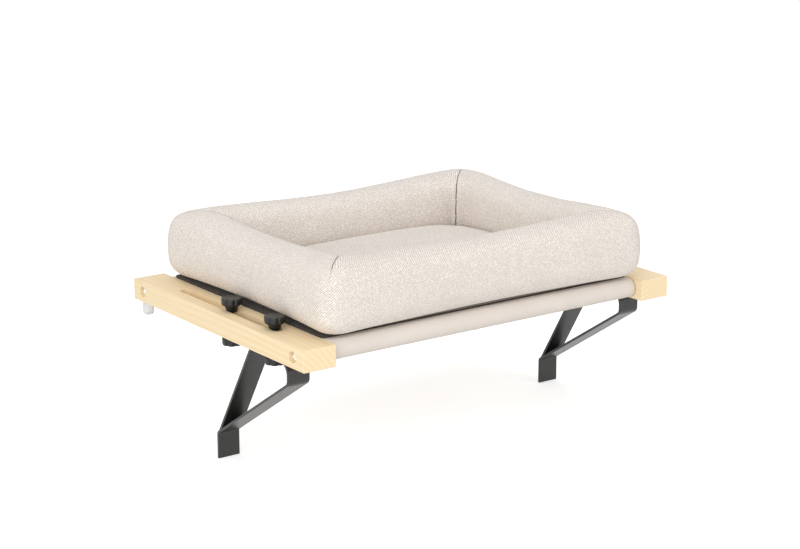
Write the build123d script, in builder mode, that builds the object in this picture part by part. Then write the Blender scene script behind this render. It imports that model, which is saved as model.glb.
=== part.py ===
from build123d import *
from math import asin, atan, cos, degrees, radians, sin, sqrt, tan
import os

# Cat perch for a window sill, with a bolster bed.
# Two slotted pine rails are screwed to two bars. A cloth sling runs round both bars and carries a thin grip
# panel, and the bed lies on that. Under each rail a bent flat-bar bracket hangs on two knob bolts, which
# slide in the rail's slot. Its wall plate presses on the wall below the sill, and a clear foot under the
# rail's rear end stands on the sill.
# Millimetres. +X is to the right, +Y towards the window and +Z up. The origin lies midway between the
# rails, on the sill's top surface and in the plane of the wall below the sill.

# Rails
overall_width = 525.0
rail_length = 368.0
rail_width = 42.0
rail_height = 25.0
rail_edge = 0.6
rail_overhang = 195.5  # from the wall's plane to the rails' front ends

# Clear feet
foot_height = 19.0
foot_radius = 6.5
foot_end_radius = 4.5
foot_stem_radius = 3.0
foot_stem_length = 9.0
foot_from_outer_face = 12.0
foot_from_rear_end = 12.5

# The slot, the bracket and its bolts share one line under each rail
bracket_x = 240.5
slot_width = 13.0
slot_front_y = -117.5
slot_rear_y = 93.5
bolt_front_y = -105.5
bolt_rear_y = -15.5

# Bars and their screws
bar_from_rail_end = 21.5
bar_below_rail_top = 12.0
bar_radius = 10.6
bar_wall = 1.2
plug_length = 24.0
screw_radius = 2.95
screw_hole_radius = 3.3
counterbore_radius = 6.5
counterbore_depth = 8.0
screw_head_radius = 5.6
screw_head_height = 3.8
screw_head_taper = 12.0
screw_reach = 18.0  # into the bar
cross_length = 6.4
cross_width = 1.3
cross_depth = 2.0

# Sling and grip panel
cloth = 1.0
seam_allowance = 16.0
sling_end_gap = 0.3
panel_thickness = 2.4
panel_front_inset = 27.0
panel_rear_inset = 23.0
panel_side_gap = 1.0
panel_corner_radius = 5.0

# Brackets, given by the middle of the strip's thickness
strip_width = 28.0
strip_thickness = 3.0
bracket_front_y = -151.0
strap_rear_y = -2.0
elbow_z = -7.0
knee_z = -103.6
plate_bottom_z = -134.8
top_bend_radius = 14.5
elbow_bend_radius = 7.5
knee_bend_radius = 4.0
strut_top_y = -75.7
strut_foot_y = -7.2
strut_foot_z = -98.0

# Star knobs, studs, washers and threaded bushes
knob_radius = 12.0
knob_lobes = 7
notch_radius = 3.2
notch_centre_radius = 13.7
knob_edge = 0.9
knob_underside_edge = 1.2
seat_radius = 6.45  # of the neck where it sits between the slot's edges
neck_wide_radius = 8.2
neck_end_radius = 4.6
neck_end_depth = 2.2  # below the rail's top
upper_neck_height = 6.2
upper_head_height = 8.8
lower_neck_radius = 6.8
lower_neck_height = 2.0
lower_head_height = 9.0
stud_radius = 2.95
stud_in_knob = 11.0
stud_end_z = 5.5
stud_tip = 0.8
bolt_hole_radius = 3.3
thread_clearance = 0.05
washer_radius = 7.5
washer_thickness = 1.2
bush_radius = 4.5
bush_length = 9.6

# Bed
bed_y = -16.5
nest_half_width = 165.0
nest_half_depth = 112.0
nest_corner_radius = 12.0
bolster_width = 60.0
corner_swell = 5.0
rim_corner_radius = 24.0
bolster_height = 76.5
corner_height = 81.0
base_thickness = 1.2
base_inset = 24.0
base_corner_radius = 14.0
pad_gap = 1.5
pad_height = 36.0
pad_waist = 13.0  # height of its widest line
pad_lower_round = 8.0
pad_upper_round = 15.0
pad_crown = 9.0
pad_crown_inset = 92.0
pad_crown_corner = 14.0
pad_crown_draw_in = 0.6
pad_corner_radius = 30.0
pad_draw_in = 5.0
pad_turns = [0, 22, 44, 66, 90]  # sections round its lower and upper edges, in degrees
pad_crown_shares = [0.2, 0.4, 0.6, 0.8, 1]  # sections up its crown

# Cross-section of a bolster: flat below, straight up to its widest line, then a four-centred crown
widest_share = 0.47
lower_corner_radius = 21.0
upper_corner_radius = 20.0
side_turn = 12.0  # degrees of the shallow arc up each side
crown_turn = 20.0  # degrees of each half of the crown's arc
straight_shares = [-1, -0.75, -0.5, -0.25, 0, 0.25, 0.5, 0.75, 1]  # sections along a side
corner_turns = [0, 8, 16, 24, 31, 38, 45]  # sections round half a corner, in degrees, to its mitre

# Places worked out from the dimensions above
rail_bottom = foot_height
rail_top = rail_bottom + rail_height
rail_x = (overall_width - rail_width) / 2
rail_inner_x = overall_width / 2 - rail_width
rail_front_y = -rail_overhang
rail_rear_y = rail_front_y + rail_length
bar_z = rail_top - bar_below_rail_top
front_bar_y = rail_front_y + bar_from_rail_end
rear_bar_y = rail_rear_y - bar_from_rail_end
bar_bore = bar_radius - bar_wall
sleeve_bore = bar_radius + thread_clearance
sleeve_radius = sleeve_bore + cloth
sling_top = bar_z + sleeve_radius
panel_top = sling_top + panel_thickness
base_top = panel_top + base_thickness
strap_z = rail_bottom - strip_thickness / 2
strap_bottom = rail_bottom - strip_thickness
knob_face_z = strap_bottom - washer_thickness
plate_y = -strip_thickness / 2

sides = {"left": -1, "right": 1}
bolts = {"front": bolt_front_y, "rear": bolt_rear_y}

os.makedirs("parts", exist_ok=True)


def save(builder, name):
    builder.part.label = name
    export_step(builder.part, f"parts/{name}.step")


def make_rail(name, side):
    """Pine rail with its long slot, two counterbored screw holes and the hole for its foot's stem."""
    outer_face = Plane(origin=(side * overall_width / 2, 0, bar_z), x_dir=(0, 1, 0), z_dir=(side, 0, 0))
    foot_x = side * (overall_width / 2 - foot_from_outer_face)
    with BuildPart() as rail:
        with BuildSketch(Plane.XY.offset(rail_bottom)):
            with Locations((side * rail_x, (rail_front_y + rail_rear_y) / 2)):
                Rectangle(rail_width, rail_length)
        extrude(amount=rail_height)
        chamfer(rail.edges(), length=rail_edge)
        with BuildSketch(Plane.XY.offset(rail_bottom)):
            with Locations((side * bracket_x, (slot_front_y + slot_rear_y) / 2)):
                SlotOverall(slot_rear_y - slot_front_y, slot_width, rotation=90)
        extrude(amount=rail_height, mode=Mode.SUBTRACT)
        with Locations(outer_face):
            with Locations((front_bar_y, 0), (rear_bar_y, 0)):
                CounterBoreHole(screw_hole_radius, counterbore_radius, counterbore_depth, depth=rail_width)
        with BuildSketch(Plane.XY.offset(rail_bottom)):
            with Locations((foot_x, rail_rear_y - foot_from_rear_end)):
                Circle(foot_stem_radius + thread_clearance)
        extrude(amount=foot_stem_length + thread_clearance, mode=Mode.SUBTRACT)
    save(rail, name)


def make_foot(name, side):
    """Clear peg foot: a body with a rounded end, and a stem that is pressed into the rail."""
    foot_x = side * (overall_width / 2 - foot_from_outer_face)
    foot_y = rail_rear_y - foot_from_rear_end
    with BuildPart() as foot:
        with BuildSketch(Plane.XY):
            with Locations((foot_x, foot_y)):
                Circle(foot_radius)
        extrude(amount=foot_height)
        fillet(foot.edges().group_by(Axis.Z)[0], radius=foot_end_radius)
        with BuildSketch(Plane.XY.offset(foot_height)):
            with Locations((foot_x, foot_y)):
                Circle(foot_stem_radius)
        extrude(amount=foot_stem_length)
    save(foot, name)


def make_bar(name, y):
    """Thin-walled tube between the rails."""
    with BuildPart() as bar:
        with BuildSketch(Plane.YZ.offset(-rail_inner_x)):
            with Locations((y, bar_z)):
                Circle(bar_radius)
                Circle(bar_bore, mode=Mode.SUBTRACT)
        extrude(amount=2 * rail_inner_x)
    save(bar, name)


def make_bar_plugs():
    """Threaded plug in each end of each bar."""
    with BuildPart() as bar_plugs:
        for side in sides.values():
            with BuildSketch(Plane.YZ.offset(side * rail_inner_x)):
                with Locations((front_bar_y, bar_z), (rear_bar_y, bar_z)):
                    Circle(bar_bore - thread_clearance)
                    Circle(screw_radius + thread_clearance, mode=Mode.SUBTRACT)
            extrude(amount=-side * plug_length)
    save(bar_plugs, "bar_plugs")


def make_frame_screws():
    """Pan-head screws with a cross recess, seated on the floors of the counterbores."""
    seat_x = overall_width / 2 - counterbore_depth
    shank_length = seat_x - rail_inner_x + screw_reach
    with BuildPart() as frame_screws:
        for side in sides.values():
            seat = Plane(origin=(side * seat_x, 0, bar_z), x_dir=(0, 1, 0), z_dir=(side, 0, 0))
            with BuildSketch(seat):
                with Locations((front_bar_y, 0), (rear_bar_y, 0)):
                    Circle(screw_head_radius)
            extrude(amount=screw_head_height, taper=screw_head_taper)
            with BuildSketch(seat):
                with Locations((front_bar_y, 0), (rear_bar_y, 0)):
                    Circle(screw_radius)
            extrude(amount=-shank_length)
            with BuildSketch(seat.offset(screw_head_height)):
                with Locations((front_bar_y, 0), (rear_bar_y, 0)):
                    Rectangle(cross_length, cross_width)
                    Rectangle(cross_width, cross_length)
            extrude(amount=-cross_depth, mode=Mode.SUBTRACT)
    save(frame_screws, "frame_screws")


def make_sling_cover():
    """Cloth with a sleeve round each bar, a taut sheet between them and a sewn seam beside each sleeve."""
    half_width = rail_inner_x - sling_end_gap
    sheet_depth = rear_bar_y - front_bar_y
    seam_y = sheet_depth / 2 - seam_allowance / 2
    with BuildPart() as sling_cover:
        with BuildSketch(Plane.YZ.offset(-half_width)):
            with Locations((front_bar_y, bar_z), (rear_bar_y, bar_z)):
                Circle(sleeve_radius)
            with Locations(((front_bar_y + rear_bar_y) / 2, sling_top - cloth / 2)):
                Rectangle(sheet_depth, cloth)
                with Locations((seam_y, -cloth), (-seam_y, -cloth)):
                    Rectangle(seam_allowance, cloth)
            with Locations((front_bar_y, bar_z), (rear_bar_y, bar_z)):
                Circle(sleeve_bore, mode=Mode.SUBTRACT)
        extrude(amount=2 * half_width)
    save(sling_cover, "sling_cover")


def make_grip_panel():
    """Thin dark panel on the sling, which keeps the bed from sliding."""
    front_y = rail_front_y + panel_front_inset
    rear_y = rail_rear_y - panel_rear_inset
    width = 2 * (rail_inner_x - panel_side_gap)
    with BuildPart() as grip_panel:
        with BuildSketch(Plane.XY.offset(sling_top)):
            with Locations((0, (front_y + rear_y) / 2)):
                RectangleRounded(width, rear_y - front_y, panel_corner_radius)
        extrude(amount=panel_thickness)
    save(grip_panel, "grip_panel")


def make_strap(name, side):
    """Flat bar, bent round below the rail's front, back along a slope and down to the wall plate."""
    with BuildPart() as strap:
        with BuildSketch(Plane.YZ.offset(side * bracket_x - strip_width / 2)):
            with BuildLine():
                FilletPolyline(
                    (strap_rear_y, strap_z),
                    (bracket_front_y, strap_z),
                    (bracket_front_y, elbow_z),
                    (plate_y, knee_z),
                    (plate_y, plate_bottom_z),
                    radius=[top_bend_radius, elbow_bend_radius, knee_bend_radius],
                )
            trace(line_width=strip_thickness)
        extrude(amount=strip_width)
        with BuildSketch(Plane.XY.offset(strap_bottom)):
            with Locations((side * bracket_x, bolt_front_y), (side * bracket_x, bolt_rear_y)):
                Circle(bolt_hole_radius)
        extrude(amount=strip_thickness, mode=Mode.SUBTRACT)
    save(strap, name)


def slope_top(y):
    """Height of the bracket slope's upper face."""
    fall = (knee_z - elbow_z) / (plate_y - bracket_front_y)
    return elbow_z + fall * (y - bracket_front_y) + strip_thickness / 2 / cos(atan(fall))


def make_strut(name, side):
    """Flat bar from the strap's underside to the slope, cut to the faces that it is welded to."""
    front_y = strut_top_y - strip_width
    rear_y = strut_foot_y + 2 * strip_thickness
    over_run = (strut_foot_y - strut_top_y) / 10
    over_drop = (strut_foot_z - strap_bottom) / 10
    with BuildPart() as strut:
        with BuildSketch(Plane.YZ.offset(side * bracket_x - strip_width / 2)):
            with BuildLine():
                Line(
                    (strut_top_y - over_run, strap_bottom - over_drop),
                    (strut_foot_y + over_run, strut_foot_z + over_drop),
                )
            trace(line_width=strip_thickness)
            with BuildLine():
                Polyline(
                    (front_y, strap_bottom),
                    (rear_y, strap_bottom),
                    (rear_y, slope_top(rear_y)),
                    (front_y, slope_top(front_y)),
                    close=True,
                )
            make_face(mode=Mode.INTERSECT)
        extrude(amount=strip_width)
    save(strut, name)


def make_upper_knob(name, x, y):
    """Star knob whose cone-shaped neck seats between the slot's edges, with a blind bore for its stud."""
    with BuildPart() as upper_knob:
        with BuildSketch(Plane.XY.offset(rail_top + upper_neck_height)):
            with Locations((x, y)):
                Circle(knob_radius)
                with PolarLocations(notch_centre_radius, knob_lobes):
                    Circle(notch_radius, mode=Mode.SUBTRACT)
        extrude(amount=upper_head_height)
        chamfer(upper_knob.faces().sort_by(Axis.Z)[-1].edges(), length=knob_edge)
        chamfer(upper_knob.faces().sort_by(Axis.Z)[0].edges(), length=knob_underside_edge)
        neck_profile = {-neck_end_depth: neck_end_radius, 0: seat_radius, upper_neck_height: neck_wide_radius}
        for level, radius in neck_profile.items():
            with BuildSketch(Plane.XY.offset(rail_top + level)):
                with Locations((x, y)):
                    Circle(radius)
        loft(ruled=True)
        with Locations((x, y, rail_top - neck_end_depth)):
            Cylinder(
                stud_radius + thread_clearance,
                neck_end_depth + stud_in_knob + thread_clearance,
                align=(Align.CENTER, Align.CENTER, Align.MIN),
                mode=Mode.SUBTRACT,
            )
    save(upper_knob, name)


def make_stud(name, x, y):
    """Stud from inside the upper knob down through rail, strap and washer into the lower knob."""
    with BuildPart() as stud:
        with BuildSketch(Plane.XY.offset(stud_end_z)):
            with Locations((x, y)):
                Circle(stud_radius)
        extrude(amount=rail_top + stud_in_knob - stud_end_z)
        chamfer(stud.edges().group_by(Axis.Z)[0], length=stud_tip)
    save(stud, name)


def make_washer(name, x, y):
    """Flat washer under the strap."""
    with BuildPart() as washer:
        with BuildSketch(Plane.XY.offset(knob_face_z)):
            with Locations((x, y)):
                Circle(washer_radius)
                Circle(bolt_hole_radius, mode=Mode.SUBTRACT)
        extrude(amount=washer_thickness)
    save(washer, name)


def make_lower_knob(name, x, y):
    """Star knob under the washer, with a short neck and a pocket for its threaded bush."""
    head_top = knob_face_z - lower_neck_height
    with BuildPart() as lower_knob:
        with BuildSketch(Plane.XY.offset(head_top - lower_head_height)):
            with Locations((x, y)):
                Circle(knob_radius)
                with PolarLocations(notch_centre_radius, knob_lobes):
                    Circle(notch_radius, mode=Mode.SUBTRACT)
        extrude(amount=lower_head_height)
        chamfer(lower_knob.faces().sort_by(Axis.Z)[0].edges(), length=knob_edge)
        with BuildSketch(Plane.XY.offset(head_top)):
            with Locations((x, y)):
                Circle(lower_neck_radius)
        extrude(amount=lower_neck_height)
        with Locations((x, y, knob_face_z)):
            Cylinder(
                bush_radius + thread_clearance,
                bush_length + thread_clearance,
                align=(Align.CENTER, Align.CENTER, Align.MAX),
                mode=Mode.SUBTRACT,
            )
    save(lower_knob, name)


def make_bush(name, x, y):
    """Threaded metal bush moulded into a lower knob."""
    with BuildPart() as bush:
        with BuildSketch(Plane.XY.offset(knob_face_z - bush_length)):
            with Locations((x, y)):
                Circle(bush_radius)
                Circle(stud_radius + thread_clearance, mode=Mode.SUBTRACT)
        extrude(amount=bush_length)
    save(bush, name)


def rim_section(half_length, along, turn):
    """Width and height of a bolster at a place along it, or at a turn in degrees round the nest's corner."""
    outer = nest_corner_radius + bolster_width + corner_swell
    arc_centre = outer - rim_corner_radius
    angle = radians(abs(turn))
    from_middle = abs(along) + outer * tan(angle)
    height = corner_height
    if from_middle < half_length + arc_centre:
        draw_in = cos(radians(90) * from_middle / (half_length + arc_centre)) ** 2
        reach = (outer - corner_swell * draw_in) / cos(angle)
        height -= (corner_height - bolster_height) * draw_in
    else:
        to_centre = arc_centre * (cos(angle) + sin(angle))
        reach = to_centre + sqrt(to_centre**2 - 2 * arc_centre**2 + rim_corner_radius**2)
    return reach - nest_corner_radius, height


def crown_radii(half_width, rise):
    """Radii of the crown's arc and of a side's arc, so that both meet the corner's arc without a kink."""
    side, crown = radians(side_turn), radians(crown_turn)
    r = upper_corner_radius
    across = half_width + r * (sin(crown) - cos(side))
    up = rise + r * (sin(side) - cos(crown))
    scale = sin(crown) * sin(side) - (1 - cos(side)) * (1 - cos(crown))
    crown_radius = (across * sin(side) - up * (1 - cos(side))) / scale
    side_radius = (up * sin(crown) - across * (1 - cos(crown))) / scale
    return crown_radius, side_radius


def make_bolster(name, facing):
    """One side of the bed's rim: full and high at its mitred corners, drawn in and lower at its middle."""
    along_x = abs(sin(radians(facing))) > 0.5
    outward = nest_half_depth if along_x else nest_half_width
    half_length = (nest_half_width if along_x else nest_half_depth) - nest_corner_radius
    direction = Vector(1, 0, 0).rotate(Axis.Z, facing)
    tangent = Vector(0, 1, 0).rotate(Axis.Z, facing)
    centre_line = Vector(0, bed_y, base_top) + direction * (outward - nest_corner_radius)
    crown_start, crown_end = 90 - crown_turn, 90 + crown_turn
    corner_turn = crown_start - side_turn
    stretches = [
        [(-half_length, -turn) for turn in corner_turns],
        [(half_length * share, 0) for share in straight_shares],
        [(half_length, turn) for turn in corner_turns],
    ]
    with BuildPart() as bolster:
        for stretch in stretches:
            for along, turn in stretch:
                width, height = rim_section(half_length, along, turn)
                reach = Vector(1, 0, 0).rotate(Axis.Z, facing + turn)
                half = width / 2
                waist = height * widest_share
                low, high = lower_corner_radius, upper_corner_radius
                inner = nest_corner_radius
                middle = inner + half
                outer = inner + width
                crown_radius, side_radius = crown_radii(half, height - waist)
                lift = (side_radius - high) * sin(radians(side_turn))
                inset = side_radius - (side_radius - high) * cos(radians(side_turn))
                section = Plane(
                    origin=centre_line + tangent * along, x_dir=reach, z_dir=reach.cross(Vector(0, 0, 1))
                )
                with BuildSketch(section):
                    with BuildLine():
                        Line((inner + low, 0), (outer - low, 0))
                        CenterArc((outer - low, low), low, -90, 90)
                        Line((outer, low), (outer, waist))
                        CenterArc((outer - side_radius, waist), side_radius, 0, side_turn)
                        CenterArc((outer - inset, waist + lift), high, side_turn, corner_turn)
                        CenterArc((middle, height - crown_radius), crown_radius, crown_start, 2 * crown_turn)
                        CenterArc((inner + inset, waist + lift), high, crown_end, corner_turn)
                        CenterArc((inner + side_radius, waist), side_radius, 180 - side_turn, side_turn)
                        Line((inner, waist), (inner, low))
                        CenterArc((inner + low, low), low, 180, 90)
                    make_face()
            loft(ruled=True)
    save(bolster, name)


def make_bed_base():
    """Bottom cloth of the bed, under the rim and the pad."""
    outer = bolster_width + corner_swell - base_inset
    width = 2 * (nest_half_width + outer)
    depth = 2 * (nest_half_depth + outer)
    with BuildPart() as bed_base:
        with BuildSketch(Plane.XY.offset(panel_top)):
            with Locations((0, bed_y)):
                RectangleRounded(width, depth, base_corner_radius)
        extrude(amount=base_thickness)
    save(bed_base, "bed_base")


def draw_pad_outline(inset):
    """Outline of the pad at an inset from its widest line: four hollow sides and four round corners."""
    share = inset / pad_crown_inset
    corner = pad_corner_radius - (pad_corner_radius - pad_crown_corner) * share
    draw_in = pad_draw_in * (1 - share) + pad_crown_draw_in * share
    corner_x = nest_half_width - pad_gap - inset - corner
    corner_y = nest_half_depth - pad_gap - inset - corner
    for facing in (0, 90, 180, 270):
        out, along = (corner_x, corner_y) if facing % 180 == 0 else (corner_y, corner_x)
        side_reach = (along**2 + draw_in**2) / (2 * draw_in)
        next_reach = (out**2 + draw_in**2) / (2 * draw_in)
        lean = degrees(asin(along / side_reach))
        next_lean = degrees(asin(out / next_reach))
        side_centre = Vector(out + side_reach - draw_in, 0).rotate(Axis.Z, facing)
        corner_centre = Vector(out, along).rotate(Axis.Z, facing)
        CenterArc(side_centre, side_reach - corner, facing + 180 - lean, 2 * lean)
        CenterArc(corner_centre, corner, facing - lean, 90 + lean + next_lean)


def make_bed_pad():
    """Pad inside the rim: full corners, sides drawn in between them and a crowned top."""
    upper_rise = pad_height - pad_crown - pad_waist
    last = radians(pad_turns[-2])
    lower_turns = [radians(turn) for turn in pad_turns]
    upper_turns = lower_turns[1:-1]
    lower_steps = [(pad_lower_round * (1 - sin(turn)), pad_waist * (1 - cos(turn))) for turn in lower_turns]
    upper_steps = [
        (pad_upper_round * (1 - cos(turn)) / (1 - cos(last)), pad_waist + upper_rise * sin(turn) / sin(last))
        for turn in upper_turns
    ]
    crown_width = pad_crown_inset - pad_upper_round
    crown_steps = [
        (pad_upper_round + crown_width * share, pad_height - pad_crown * (1 - share) ** 2)
        for share in pad_crown_shares
    ]
    with BuildPart() as bed_pad:
        for inset, level in lower_steps + upper_steps + crown_steps:
            with BuildSketch(Plane(origin=(0, bed_y, base_top + level))):
                with BuildLine():
                    draw_pad_outline(inset)
                make_face()
        loft(ruled=True)
    save(bed_pad, "bed_pad")


for label, side in sides.items():
    make_rail(f"{label}_rail", side)
    make_foot(f"{label}_foot", side)
    make_strap(f"{label}_strap", side)
    make_strut(f"{label}_strut", side)
    for end, bolt_y in bolts.items():
        place = f"{label}_{end}"
        make_upper_knob(f"upper_knob_{place}", side * bracket_x, bolt_y)
        make_stud(f"stud_{place}", side * bracket_x, bolt_y)
        make_washer(f"washer_{place}", side * bracket_x, bolt_y)
        make_lower_knob(f"lower_knob_{place}", side * bracket_x, bolt_y)
        make_bush(f"bush_{place}", side * bracket_x, bolt_y)

make_bar("front_bar", front_bar_y)
make_bar("rear_bar", rear_bar_y)
make_bar_plugs()
make_frame_screws()
make_sling_cover()
make_grip_panel()

for label, facing in {"right": 0, "rear": 90, "left": 180, "front": 270}.items():
    make_bolster(f"{label}_bolster", facing)
make_bed_base()
make_bed_pad()
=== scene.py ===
"""Looks of a cat window perch with a bolster bed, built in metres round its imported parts."""

import logging
import math
from dataclasses import dataclass, field
from enum import Enum

import bpy
import numpy as np
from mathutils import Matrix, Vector


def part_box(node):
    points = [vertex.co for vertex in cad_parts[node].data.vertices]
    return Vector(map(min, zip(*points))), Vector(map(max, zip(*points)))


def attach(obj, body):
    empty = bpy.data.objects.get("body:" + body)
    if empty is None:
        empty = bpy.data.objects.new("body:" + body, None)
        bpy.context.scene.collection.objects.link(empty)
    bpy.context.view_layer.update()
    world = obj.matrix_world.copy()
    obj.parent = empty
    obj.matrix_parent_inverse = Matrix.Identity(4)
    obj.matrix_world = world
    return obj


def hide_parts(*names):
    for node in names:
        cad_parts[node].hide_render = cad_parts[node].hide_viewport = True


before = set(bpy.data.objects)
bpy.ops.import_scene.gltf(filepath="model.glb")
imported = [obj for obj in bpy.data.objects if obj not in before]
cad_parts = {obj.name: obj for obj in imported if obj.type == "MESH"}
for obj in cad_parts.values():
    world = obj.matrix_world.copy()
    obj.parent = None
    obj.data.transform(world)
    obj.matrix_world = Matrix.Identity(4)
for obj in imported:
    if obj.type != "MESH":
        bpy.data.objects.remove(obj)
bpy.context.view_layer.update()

LOG = logging.getLogger("window_perch")
MM = 0.001
SWELL_FRAMES = 20
# The radius at which a turned grid stops short of its axis, where a fan closes it.
AXIS_HOLE = 0.02 * MM
# The places of the colour sockets on Blender's Mix node.
COLOUR_A, COLOUR_B, COLOUR_RESULT = 6, 7, 2
Colour = tuple[float, float, float]


def paint(red: int, green: int, blue: int) -> Colour:
    """Turns a colour as seen on a screen into the linear values that a shader takes.

    Args:
        red: Red, from 0 to 255.
        green: Green, from 0 to 255.
        blue: Blue, from 0 to 255.

    Returns:
        The three linear values.
    """
    shares = np.array([red, green, blue]) / 255
    linear = np.where(shares <= 0.04045, shares / 12.92, ((shares + 0.055) / 1.055) ** 2.4)
    return tuple(float(value) for value in linear)


class Pattern(Enum):
    """Coordinates that a finish follows."""

    OBJECT = "Object"
    CLOTH = "UV"


class Recipe:
    """A material's node tree, with short calls for the nodes that the finishes use."""

    def __init__(self, name: str, pattern: Pattern) -> None:
        """Starts a material that holds a principled shader.

        Args:
            name: Name of the material.
            pattern: Coordinates that its pattern follows.
        """
        self.material = bpy.data.materials.new(name)
        self.material.use_nodes = True
        self.tree = self.material.node_tree
        self.shader = self.tree.nodes["Principled BSDF"]
        self.where = self.tree.nodes.new("ShaderNodeTexCoord").outputs[pattern.value]

    def plug(self, socket: bpy.types.NodeSocket, value: object) -> None:
        """Links a socket into an input, or sets the input to a plain value."""
        if isinstance(value, bpy.types.NodeSocket):
            self.tree.links.new(value, socket)
        else:
            socket.default_value = value

    def set(self, **inputs: object) -> None:
        """Sets the shader's own inputs, named with underscores for spaces."""
        for name, value in inputs.items():
            self.plug(self.shader.inputs[name.replace("_", " ")], value)

    def math(self, operation: str, first: object, second: object = 0.0) -> bpy.types.NodeSocket:
        """Adds a Math node and returns its output."""
        node = self.tree.nodes.new("ShaderNodeMath")
        node.operation = operation
        self.plug(node.inputs[0], first)
        self.plug(node.inputs[1], second)
        return node.outputs[0]

    def scaled(self, scale: tuple[float, float, float], turn: float = 0.0) -> bpy.types.NodeSocket:
        """Turns the pattern's coordinates, then scales them.

        Args:
            scale: Repeats per metre along each axis.
            turn: Turn about Z in degrees.

        Returns:
            The new coordinates.
        """
        turned = self.tree.nodes.new("ShaderNodeMapping")
        self.plug(turned.inputs["Vector"], self.where)
        turned.inputs["Rotation"].default_value = (0.0, 0.0, math.radians(turn))
        node = self.tree.nodes.new("ShaderNodeMapping")
        self.plug(node.inputs["Vector"], turned.outputs["Vector"])
        node.inputs["Scale"].default_value = scale
        return node.outputs["Vector"]

    def noise(
        self, vector: object, scale: float, detail: float = 2.0, roughness: float = 0.5
    ) -> bpy.types.NodeSocket:
        """Adds a Noise texture and returns its value, around 0.5."""
        node = self.tree.nodes.new("ShaderNodeTexNoise")
        self.plug(node.inputs["Vector"], vector)
        node.inputs["Scale"].default_value = scale
        node.inputs["Detail"].default_value = detail
        node.inputs["Roughness"].default_value = roughness
        return node.outputs[0]

    def cells(self, vector: object, randomness: float) -> bpy.types.NodeSocket:
        """Adds a Voronoi texture and returns the distance to the nearest cell's middle."""
        node = self.tree.nodes.new("ShaderNodeTexVoronoi")
        self.plug(node.inputs["Vector"], vector)
        node.inputs["Scale"].default_value = 1.0
        node.inputs["Randomness"].default_value = randomness
        return node.outputs["Distance"]

    def spread(
        self, value: object, low: float, high: float, to_low: float = 0.0, to_high: float = 1.0
    ) -> bpy.types.NodeSocket:
        """Maps a range of values smoothly onto another."""
        node = self.tree.nodes.new("ShaderNodeMapRange")
        node.interpolation_type = "SMOOTHSTEP"
        inputs = {"Value": value, "From Min": low, "From Max": high, "To Min": to_low, "To Max": to_high}
        for name, number in inputs.items():
            self.plug(node.inputs[name], number)
        return node.outputs[0]

    def mix(self, share: object, first: object, second: object) -> bpy.types.NodeSocket:
        """Mixes two colours, each a linear colour or a socket."""
        node = self.tree.nodes.new("ShaderNodeMix")
        node.data_type = "RGBA"
        self.plug(node.inputs["Factor"], share)
        for socket, colour in ((node.inputs[COLOUR_A], first), (node.inputs[COLOUR_B], second)):
            self.plug(socket, (*colour, 1.0) if isinstance(colour, tuple) else colour)
        return node.outputs[COLOUR_RESULT]

    def relief(self, height: object, depth: float, below: object = None) -> bpy.types.NodeSocket:
        """Adds a Bump node.

        Args:
            height: Height from 0 to 1.
            depth: What a height of 1 stands for, in metres.
            below: Normal that this relief lies on, if there is one.

        Returns:
            The bumped normal.
        """
        node = self.tree.nodes.new("ShaderNodeBump")
        node.inputs["Strength"].default_value = 1.0
        node.inputs["Distance"].default_value = depth
        self.plug(node.inputs["Height"], height)
        if below is not None:
            self.plug(node.inputs["Normal"], below)
        return node.outputs["Normal"]


@dataclass(frozen=True)
class NubbyTwill:
    """Soft thick twill of the bed: rows of nubs that climb to the right on the piece's UV map, in metres."""

    name: str = "bed_twill"
    crown: Colour = paint(253, 248, 242)
    # valley: painted shade in the weave's hollows; the broad clouding also mixes towards it as random tone.
    valley: Colour = paint(208, 196, 185)
    row: float = 1.9 * MM
    nub: float = 2.5 * MM
    climb: float = 45.0
    depth: float = 0.42 * MM
    slub_rate: float = 210.0
    broad_rate: float = 14.0
    fuzz_rate: float = 1500.0
    fuzz_depth: float = 0.10 * MM

    def make(self) -> bpy.types.Material:
        """Builds the material: slanting ridges, each broken into nubs by jittered cells, with painted shade
        in the hollows between them.
        """
        recipe = Recipe(self.name, Pattern.CLOTH)
        slanted = recipe.scaled((1 / self.nub, 1 / self.row, 1.0), -self.climb)
        nubs = recipe.spread(recipe.cells(slanted, 0.5), 0.08, 0.62, 1.0, 0.0)
        split = recipe.tree.nodes.new("ShaderNodeSeparateXYZ")
        recipe.plug(split.inputs[0], slanted)
        wave = recipe.math("COSINE", recipe.math("MULTIPLY", split.outputs[1], math.tau))
        ridges = recipe.spread(wave, -1.0, 1.0)
        plain = recipe.scaled((1.0, 1.0, 1.0))
        slubs = recipe.spread(recipe.noise(plain, self.slub_rate, 3.0), 0.3, 0.7)
        relief = recipe.math("ADD", recipe.math("MULTIPLY", nubs, 0.5), recipe.math("MULTIPLY", ridges, 0.5))
        share = recipe.math("MULTIPLY", relief, recipe.spread(slubs, 0.0, 1.0, 0.93, 1.0))
        # Painted shade: the low places of the relief take the darker valley colour.
        colour = recipe.mix(recipe.spread(share, 0.05, 0.72), self.valley, self.crown)
        broad = recipe.spread(recipe.noise(plain, self.broad_rate, 2.0), 0.3, 0.7, 0.0, 0.10)
        fuzz = recipe.relief(recipe.noise(plain, self.fuzz_rate, 2.0), self.fuzz_depth)
        recipe.set(
            Base_Color=recipe.mix(broad, colour, self.valley), Roughness=0.92, Sheen_Weight=0.15,
            Sheen_Roughness=0.5, Specular_IOR_Level=0.2, Normal=recipe.relief(relief, self.depth, fuzz),
        )
        return recipe.material


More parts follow.
